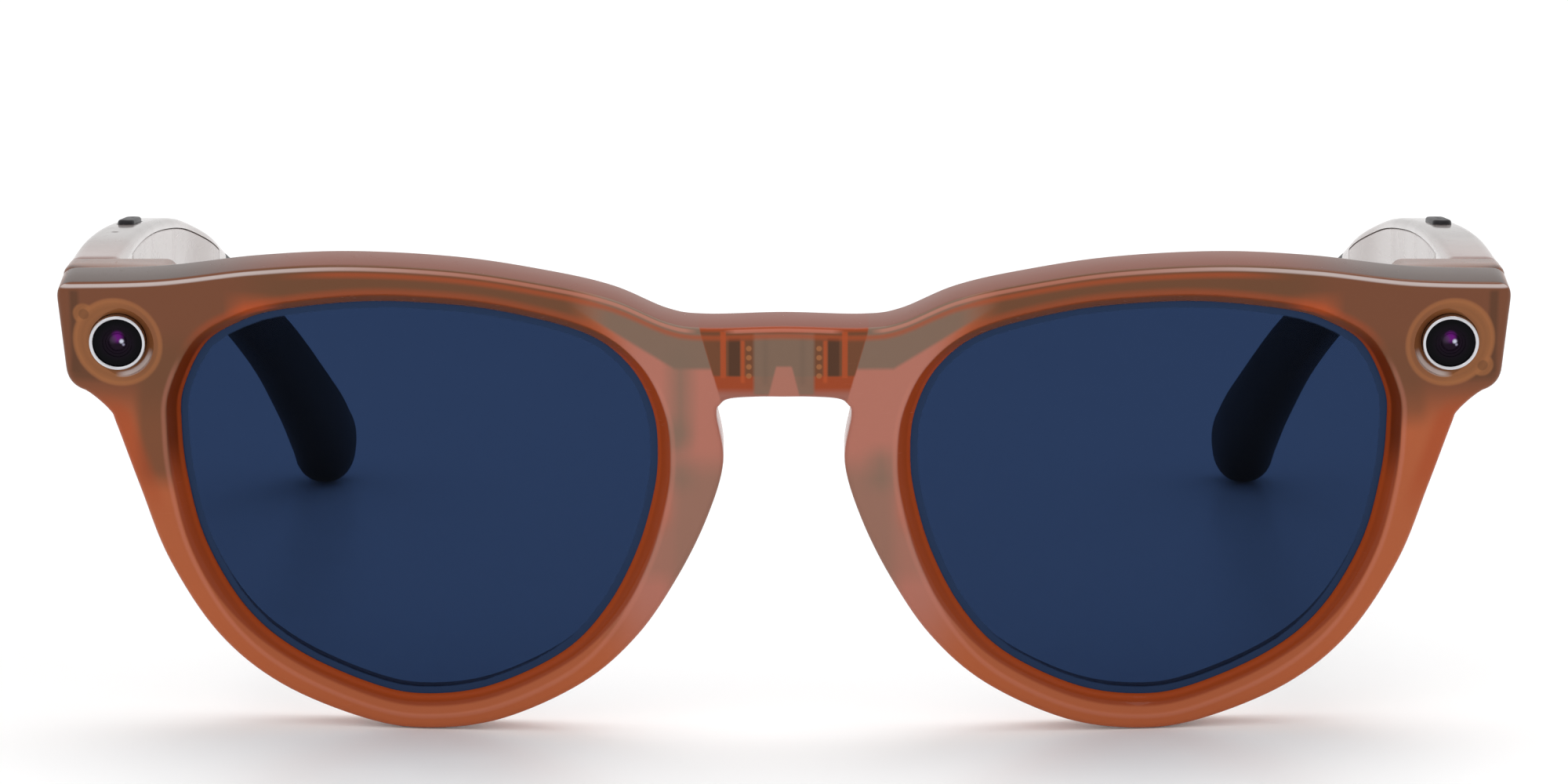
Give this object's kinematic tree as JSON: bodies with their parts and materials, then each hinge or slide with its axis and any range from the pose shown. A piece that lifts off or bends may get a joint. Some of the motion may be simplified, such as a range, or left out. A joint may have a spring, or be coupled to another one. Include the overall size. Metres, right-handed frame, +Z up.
{
  "type": "smart glasses",
  "caption": "Round keyhole-bridge camera glasses in translucent resin with dark lenses, folding electronic temples, a top button and a slide switch.",
  "frame": {"origin": "bottom centre of the bounding box, on the table that the rims and ear tips stand on", "axes": "+X to the wearer's left, +Y back along the temples (the lenses face -Y), +Z up"},
  "size_m": [0.1472, 0.1528, 0.0493],
  "materials": {
    "caramel_resin": "translucent caramel resin, polished",
    "navy_lens": "dark navy sun lens, polished",
    "camera_glass": "black camera glass",
    "polished_ring": "polished ring",
    "amber_plastic": "amber plastic, satin",
    "black_component": "moulded black plastic",
    "circuit_board": "solder-masked board",
    "flex_film": "polyimide film",
    "gold_contact": "gold plated",
    "led_lens": "milky light window",
    "smoky_resin": "translucent smoky grey resin, polished",
    "black_grip": "soft black, satin",
    "battery_foil": "laminated foil pouch",
    "steel": "brushed"
  },
  "bodies": {
    "front": {"front_frame": "caramel_resin", "brow_cover_right": "caramel_resin", "brow_cover_left": "caramel_resin", "bridge_cover": "caramel_resin", "lens_right": "navy_lens", "lens_left": "navy_lens", "camera_window_right": "camera_glass", "camera_window_left": "camera_glass", "camera_bezel_right": "polished_ring", "camera_bezel_left": "polished_ring", "camera_barrel_right": "black_component", "camera_barrel_left": "black_component", "camera_sensor_right": "circuit_board", "camera_sensor_left": "circuit_board", "camera_bracket_right": "amber_plastic", "camera_bracket_left": "amber_plastic", "camera_screws": "steel", "capture_led": "led_lens", "front_flex": "flex_film", "bridge_board": "circuit_board", "bridge_blocks": "black_component", "charging_contacts": "gold_contact", "nose_microphone": "steel", "front_hinge_right": "steel", "front_hinge_left": "steel", "front_hinge_screws": "steel", "hinge_pin_right": "steel", "hinge_pin_left": "steel"},
    "temple_right": {"temple_shell_right": "smoky_resin", "temple_cover_right": "smoky_resin", "temple_hinge_right": "steel", "temple_screws_right": "steel", "ear_tip_right": "black_grip", "core_wire_right": "steel", "speaker_right": "black_component", "speaker_mesh_right": "black_component", "microphone_right": "steel", "inlay_right": "steel", "main_board": "circuit_board", "shield_can": "steel", "touch_sensor": "flex_film", "button_switch": "black_component"},
    "temple_left": {"temple_shell_left": "smoky_resin", "temple_cover_left": "smoky_resin", "temple_hinge_left": "steel", "temple_screws_left": "steel", "ear_tip_left": "black_grip", "core_wire_left": "steel", "speaker_left": "black_component", "speaker_mesh_left": "black_component", "microphone_left": "steel", "microphone_port": "black_grip", "inlay_left": "steel", "battery": "battery_foil", "protection_board": "circuit_board", "power_switch": "black_component"},
    "capture_button": {"capture_button": "black_grip"},
    "power_slider": {"power_slider": "black_grip"}
  },
  "joints": [
    {"name": "temple_right_fold", "type": "hinge", "parent": "front", "child": "temple_right", "pos_m": [-0.06675, -0.056, 0.0413], "axis": [0, 0, -1], "range_deg": [0, 73]},
    {"name": "temple_left_fold", "type": "hinge", "parent": "front", "child": "temple_left", "pos_m": [0.06675, -0.056, 0.0413], "axis": [0, 0, 1], "range_deg": [0, 84]},
    {"name": "capture_button_press", "type": "slide", "parent": "temple_right", "child": "capture_button", "axis": [0, -0.0975, -0.9952], "range_m": [0, 0.0004], "stiffness_N_per_m": 400},
    {"name": "power_slider_slide", "type": "slide", "parent": "temple_left", "child": "power_slider", "axis": [0, 1, 0], "range_m": [0, 0.002]}
  ]
}
